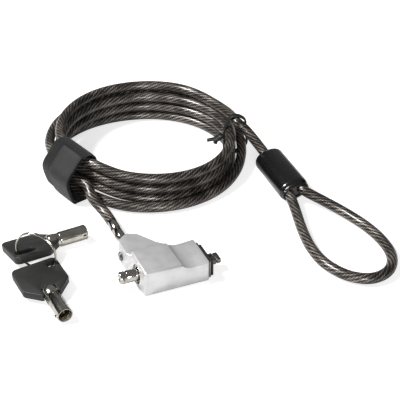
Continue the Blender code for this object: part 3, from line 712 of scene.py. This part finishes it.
wing = {"height": 13.0, "corners": [
    (-20.3, 24.9, 1.6), (-20.3, 11.5, 0.5), (-16.0, 5.0, 0.5), (2.5, 6.0, 0.5), (2.5, 11.8, 0.8),
    (-1.7, 16.0, 3.0), (-8.8, 27.2, 2.0), (-14.4, 29.2, 2.2)]}
dent = {"wall": 2.2, "floor": 8.8, "end": 20.0, "bottom": 11.3, "right": 12.0, "turn": 2}
spring = {"start": 9.5, "length": 6.2, "turns": 4, "radius": 1.35, "wire": 0.2, "seat": 15.9, "pressed": 0.24}


def dentCutter():
    top, bottom = head["height"] + 0.4, dent["bottom"]
    span = dent["floor"] - dent["wall"]
    profile = [(dent["floor"] - span * cos(a), top - (top - bottom) * sin(a))
               for a in np.linspace(0, pi / 2, 25)]
    for part in np.linspace(0, 1, 13)[1:]:
        profile.append((dent["floor"] + (dent["end"] - dent["floor"]) * part,
                        bottom + (dent["right"] - bottom) * smooth(part)))
    profile += [(dent["end"] + 6, dent["right"]), (dent["end"] + 6, top + 6), (dent["wall"], top + 6)]
    reach = head["depth"] / 2 + 12
    cutter = slab("cut", profile, -reach, reach)
    cutter.data.transform(Matrix.Rotation(radians(dent["turn"]), 4, "Z") @ Matrix.Rotation(pi / 2, 4, "X"))
    return cutter


def makeHousing():
    left, right = -head["length"] / 2, head["length"] / 2
    bm = bmesh.new()
    bmesh.ops.create_cube(bm, size=2.0)
    for vert in bm.verts:
        low, behind = vert.co.z < 0, vert.co.y > 0
        x = right if vert.co.x > 0 else left - (0 if not low else 2.4 if behind else 0.8)
        y = (1 if behind else -1) * (head["depth"] / 2 + (0.3 if low else 0))
        vert.co = Vector((x, y, 0 if low else head["height"])) * mm
    body = meshFrom("head_casting", bm)
    bake(bevel(body, head["edge"], 6))
    rear = slab("wing", fillet(wing["corners"]), 0, wing["height"])
    bake(bevel(rear, 0.7, 4))
    combine(body, "UNION", rear)
    combine(body, "DIFFERENCE", dentCutter())
    bake(bevel(body, 0.28, 2, 42))
    axis, eye, pivot = head["axisZ"], head["eyeX"], (head["pivotY"], head["pivotZ"])
    # bores of the barrel and the spindle, slot of the eye, holes of the two pins, two seam grooves
    cuts = [
        rod("cut", (-24, 0, axis), (2.5, 0, axis), 5.3),
        rod("cut", (2.4, head["barY"], head["barZ"]), (21, head["barY"], head["barZ"]), 3.95),
        block("cut", (eye - 2.6, 14.5, -1), (eye + 2.6, 34, 11.5)),
        rod("cut", (-24, *pivot), (-8.2, *pivot), 1.8),
        rod("cut", (-13, 0, -1), (-13, 0, 2.4), 1.1),
        block("cut", (-22, 10.5, 11.2), (-19.9, 24.4, 11.8)),
        block("cut", (-18.6, 11.15, 12.3), (2.2, 11.6, 13.4))]
    for y in (-7.6, 7.6):
        cuts.append(rod("cut", (11, y, axis), (21, y, axis), 1.2))
    # the wing's rear is cut away below, so that the head can turn on its pin
    relief = block("cut", (-30, 0, -12), (10, 30, 0))
    relief.data.transform(Matrix.Translation((0, head["pivotY"] * mm, 0))
                          @ Matrix.Rotation(radians(head["relief"]), 4, "X"))
    cuts.append(relief)
    combine(body, "DIFFERENCE", *cuts)
    show(body, "head", casting, "casting", "housing", sharp=32)


def makeHeadFittings():
    axis = head["axisZ"]
    barrel = lathe("barrel_sleeve", [
        (4.3, -17.9), (4.45, -18.3), (4.85, -18.3), (5.0, -18.1), (5.0, 2.2), (1.9, 2.2), (1.9, 0.4),
        (4.3, 0.4), (4.3, -17.9)])
    combine(barrel, "DIFFERENCE", rod("cut", (6.0, 0, -13.0), (3.6, 0, -13.0), 1.1))  # for the barrel pin
    show(alongX(barrel, 0, 0, axis), "head", chrome, "steel", "lock_barrel")
    pin = lathe("pivot_pin_head", [
        (0, -8.6), (1.4, -8.6), (1.5, -8.8), (1.5, -20.7), (2.5, -20.7), (2.55, -21.0), (2.2, -21.45),
        (1.2, -21.6), (0, -21.62)])
    show(alongX(pin, 0, head["pivotY"], head["pivotZ"]), "head", steel, "chrome", "pivot_pin")
    post = lathe("plunger_post", [
        (0, 9.0), (1.1, 9.0), (1.1, -14.3), (3.25, -14.3), (3.4, -14.6), (3.4, -24.5), (3.3, -24.7),
        (3.15, -24.8), (3.15, -25.2), (3.3, -25.3), (3.4, -25.5), (3.4, -27.8), (3.3, -28.1),
        (3.1, -28.28), (2.0, -28.3), (1.9, -28.0), (0, -28.0)])
    for turn in (20, 140, 260):  # three drilled marks near the tip
        c, s = cos(radians(turn)), sin(radians(turn))
        combine(post, "DIFFERENCE", rod("cut", (2.7 * c, 2.7 * s, -26.6), (4 * c, 4 * s, -26.6), 0.55, 20))
    show(alongX(post, 0, 0, axis), "push_plunger", chrome, "chrome", "plunger")
    barY, barZ = head["barY"], head["barZ"]
    bar = lathe("t_bar_shaft", [
        (0, 26.0), (1.45, 26.0), (1.45, 17.9), (3.6, 17.9), (3.75, 17.7), (3.75, 3.0), (3.1, 3.0),
        (3.1, 16.2), (0, 16.2)], 48)
    alongX(bar, 0, barY, barZ)
    cross = block("cross", (24.9, barY - 3.4, barZ - 1.4), (27.5, barY + 3.4, barZ + 1.4))
    bake(bevel(cross, 0.55, 4))
    combine(bar, "UNION", cross)
    show(bar, "turning_t_bar", steel, "steel", "t_bar")
    padOutline = fillet([(5.0, 8.5, 2.2), (-4.6, 8.5, 2.2), (-4.6, -10.5, 2.2), (5.0, -10.5, 2.2)])
    pad = slab("rubber_pad", padOutline, 19.6, 20.6)
    bake(bevel(pad, 0.25, 3))
    pad.data.transform(Matrix.Translation((0, 0, 6.2 * mm)) @ Matrix.Rotation(pi / 2, 4, "Y"))
    combine(pad, "DIFFERENCE", block("cut", (17, barY - 3.7, barZ - 1.75), (23, barY + 3.7, barZ + 1.75)))
    show(pad, "head", padRubber, "pad", "gasket")
    coilSpring = []
    radius, steps = spring["radius"], spring["turns"] * 24
    for i in range(steps + 1):
        angle = 2 * pi * i / 24
        coilSpring.append((spring["start"] + spring["length"] * i / steps,
                           barY + radius * cos(angle), barZ + radius * sin(angle)))
    coiled = sweep("return_spring", coilSpring, circle(spring["wire"], 10))
    show(coiled, "head", steel, "steel", "plunger_spring", sharp=60)
    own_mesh(coiled)
    # hidden pieces keep their CAD shapes
    for name, look in (("guard_plate", steel), ("plate_screw_1", steel), ("plate_screw_2", steel),
                       ("barrel_pin", steel), ("lock_plug", brass), ("tumbler_1", brass),
                       ("tumbler_2", brass), ("tumbler_3", brass), ("tumbler_4", brass),
                       ("loop_crimp", aluminium), ("swivel_eye", chrome)):
        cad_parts[name].data.materials.clear()
        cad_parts[name].data.materials.append(look)


def makeFerrule():
    length = ferrule["length"]
    profile = [(0, 4.6), (1.6, 4.6), (1.6, 0), (2.2, 0), (2.4, 0.2), (2.4, 3.0), (2.85, 3.9), (2.85, 10.6),
               (2.7, 10.8), (2.7, 11.2), (2.85, 11.4), (2.85, length - 0.5), (2.75, length), (0, length)]
    turned = lathe("cable_ferrule", profile, 48)
    place = Vector((head["eyeX"], ferrule["start"], head["pivotZ"])) * mm
    turned.matrix_world = Matrix.Translation(place) @ Matrix.Rotation(-pi / 2, 4, "X")
    show(turned, "cable", chrome, "chrome", "lead_ferrule")


makeHousing()
makeHeadFittings()
makeFerrule()
print("lock head done")


# ---- keys

# neck is where the barrel meets the grip, and heading, pitch and roll are in degrees;
# slot and half are the middle and half size of the hole for the ring
keys = {
    "barrelD": 8.4, "bore": 6.9, "length": 27.0, "width": 25.5, "thickness": 4.2, "shank": 4.8, "reach": 18.5,
    "a": {"neck": (-48.95, 48.67, 4.8), "heading": 6.6, "pitch": 0.9, "roll": -12.3,
          "slot": (-19.4, -6.8), "half": (5.8, 2.7)},
    "b": {"neck": (-63.93, 3.4, 4.65), "heading": -84.8, "pitch": 0.7, "roll": 2.8,
          "slot": (-22.4, 8.6), "half": (2.8, 3.3)},
}
ring = {"centre": (-63.4, 32.6, 12.4), "radius": 11.5, "wire": 0.42, "heading": -42.1, "turns": 1.93}


def keyMatrix(key):
    turn = Euler((radians(key["roll"]), radians(key["pitch"]), radians(key["heading"]))).to_matrix().to_4x4()
    return Matrix.Translation(Vector(key["neck"]) * mm) @ turn


def makeKey(name):
    key, half, back = keys[name], keys["width"] / 2, -keys["length"]
    thick = keys["thickness"] / 2
    grip = slab("key_%s_grip" % name, fillet([
        (0.4, -5.2, 0.8), (0.4, 5.2, 0.8), (-7.4, half, 2.0), (back, half, 3.2), (back, -half, 3.2),
        (-7.4, -half, 2.0)]), -thick, thick)
    bake(bevel(grip, 0.55, 4))
    sx, sy = key["slot"]
    hx, hy = key["half"]
    rounding = min(hx, hy) - 0.2
    slot = slab("cut", fillet([(sx + hx, sy + hy, rounding), (sx - hx, sy + hy, rounding),
                               (sx - hx, sy - hy, rounding), (sx + hx, sy - hy, rounding)]), -6, 6)
    seat = rod("cut", (-keys["shank"] - 0.3, 0, 0), (4, 0, 0), keys["barrelD"] / 2 + 0.2)
    combine(grip, "DIFFERENCE", slot, seat)
    bake(bevel(grip, 0.22, 2, 50))
    grip.matrix_world = keyMatrix(key)
    show(grip, "key_" + name, keyPlastic, "key_grip", "key_%s_head" % name)
    outer, bore, reach, shank = keys["barrelD"] / 2, keys["bore"] / 2, keys["reach"], keys["shank"]
    barrel = lathe("key_%s_tube" % name, [
        (0, reach - 11), (bore, reach - 11), (bore, reach - 0.2), (bore + 0.15, reach), (outer - 0.3, reach),
        (outer, reach - 0.35), (outer, 2.8), (outer - 0.1, 2.5), (outer - 0.3, 2.3), (outer - 0.3, 0.6),
        (outer - 0.1, 0.2), (outer, -0.1), (outer, -shank + 1.7), (outer - 0.3, -shank + 0.8),
        (outer - 0.9, -shank + 0.25), (outer - 1.8, -shank), (0, -shank)])
    lug = block("lug", (-0.1, -outer - 0.75, reach - 3.1), (1.3, -outer + 0.5, reach - 1.3))
    bake(bevel(lug, 0.3, 3))
    combine(barrel, "UNION", lug)
    barrel.matrix_world = keyMatrix(key) @ Matrix.Rotation(pi / 2, 4, "Y")
    show(barrel, "key_" + name, nickel, "nickel", "key_%s_barrel" % name)


def makeRing():
    # wire of nearly two turns, which cross at the middle of its length
    turn = radians(ring["heading"])
    flat, away = Vector((cos(turn), sin(turn), 0)), Vector((-sin(turn), cos(turn), 0))
    path = []
    steps = 150
    for i in range(steps + 1):
        part = i / steps
        angle = radians(-70) + 2 * pi * ring["turns"] * part
        offset = (smooth((part - 0.42) / 0.16) - 0.5) * ring["wire"] * 2.1
        spot = Vector(ring["centre"]) + flat * ring["radius"] * cos(angle) + away * offset
        path.append((spot.x, spot.y, spot.z + ring["radius"] * sin(angle)))
    wire = sweep("split_ring", path, circle(ring["wire"], 14))
    show(wire, "ring", nickel, "nickel", "key_ring", sharp=60)


makeKey("a")
makeKey("b")
makeRing()
print("keys done")


# ---- floor, light and background

stage = {"floor": "#cccccc", "floorGlow": 0.7, "glossyShare": 0.25, "floorZ": -0.2, "skyStrength": 0.2,
         "keyWatts": 22, "frontWatts": 9}

floorLook, floorTree, floorShader = startMaterial("pale_paper_floor")
floorShader.inputs["Base Color"].default_value = toLinear(stage["floor"])
floorShader.inputs["Roughness"].default_value = 0.9
floorShader.inputs["Emission Color"].default_value = toLinear("#ffffff")
rays = addNode(floorTree, "LightPath").outputs
seen = mathNode(floorTree, "ADD", rays["Is Camera Ray"], rays["Is Transmission Ray"])
reflected = mathNode(floorTree, "MULTIPLY", rays["Is Glossy Ray"], stage["glossyShare"])
seen = mathNode(floorTree, "ADD", seen, reflected)
glow = mathNode(floorTree, "MULTIPLY", seen, stage["floorGlow"])
floorTree.links.new(glow, floorShader.inputs["Emission Strength"])
bm = bmesh.new()
bmesh.ops.create_grid(bm, x_segments=1, y_segments=1, size=4.0)
floor = meshFrom("floor", bm)
floor.location.z = stage["floorZ"] * mm
floor.data.materials.append(floorLook)

world = bpy.data.worlds.new("studio")
bpy.context.scene.world = world
world.use_nodes = True
sky = world.node_tree
direction = addNode(sky, "TexCoord").outputs["Generated"]
around = addNode(sky, "TexGradient", {"gradient_type": "RADIAL"}, {"Vector": direction}).outputs["Fac"]
# pale and dark panels round the object, for the metal to reflect, under a pale dome
panels = colourRamp(sky, around, [
    (0.0, "#ececec"), (0.07, "#303030"), (0.16, "#303030"), (0.22, "#f4f4f4"), (0.36, "#f4f4f4"),
    (0.42, "#282828"), (0.50, "#282828"), (0.56, "#ffffff"), (0.70, "#ffffff"), (0.76, "#303030"),
    (0.88, "#303030"), (0.95, "#ececec")])
upwards = addNode(sky, "SeparateXYZ", inputs={0: direction}).outputs[2]
dome = addNode(sky, "Mix", {"data_type": "RGBA"}, {
    "Factor": remap(sky, upwards, 0, 1, 0.45, 0.75), 6: panels, 7: toLinear("#f4f4f4")})
sky.links.new(dome.outputs[2], sky.nodes["Background"].inputs["Color"])
sky.nodes["Background"].inputs["Strength"].default_value = stage["skyStrength"]


def areaLight(name, spot, target, size, watts):
    light = bpy.data.lights.new(name, "AREA")
    light.shape = "DISK"
    light.size = size
    light.energy = watts
    lamp = link(bpy.data.objects.new(name, light))
    lamp.location = spot
    lamp.rotation_euler = (Vector(target) - Vector(spot)).to_track_quat("-Z", "Y").to_euler()


areaLight("key_light", (-0.66, 0.38, 0.95), (0.02, 0.04, 0), 0.35, stage["keyWatts"])
areaLight("front_light", (-0.3, -1.1, 0.36), (0.03, 0.05, 0), 0.45, stage["frontWatts"])
print("stage done")
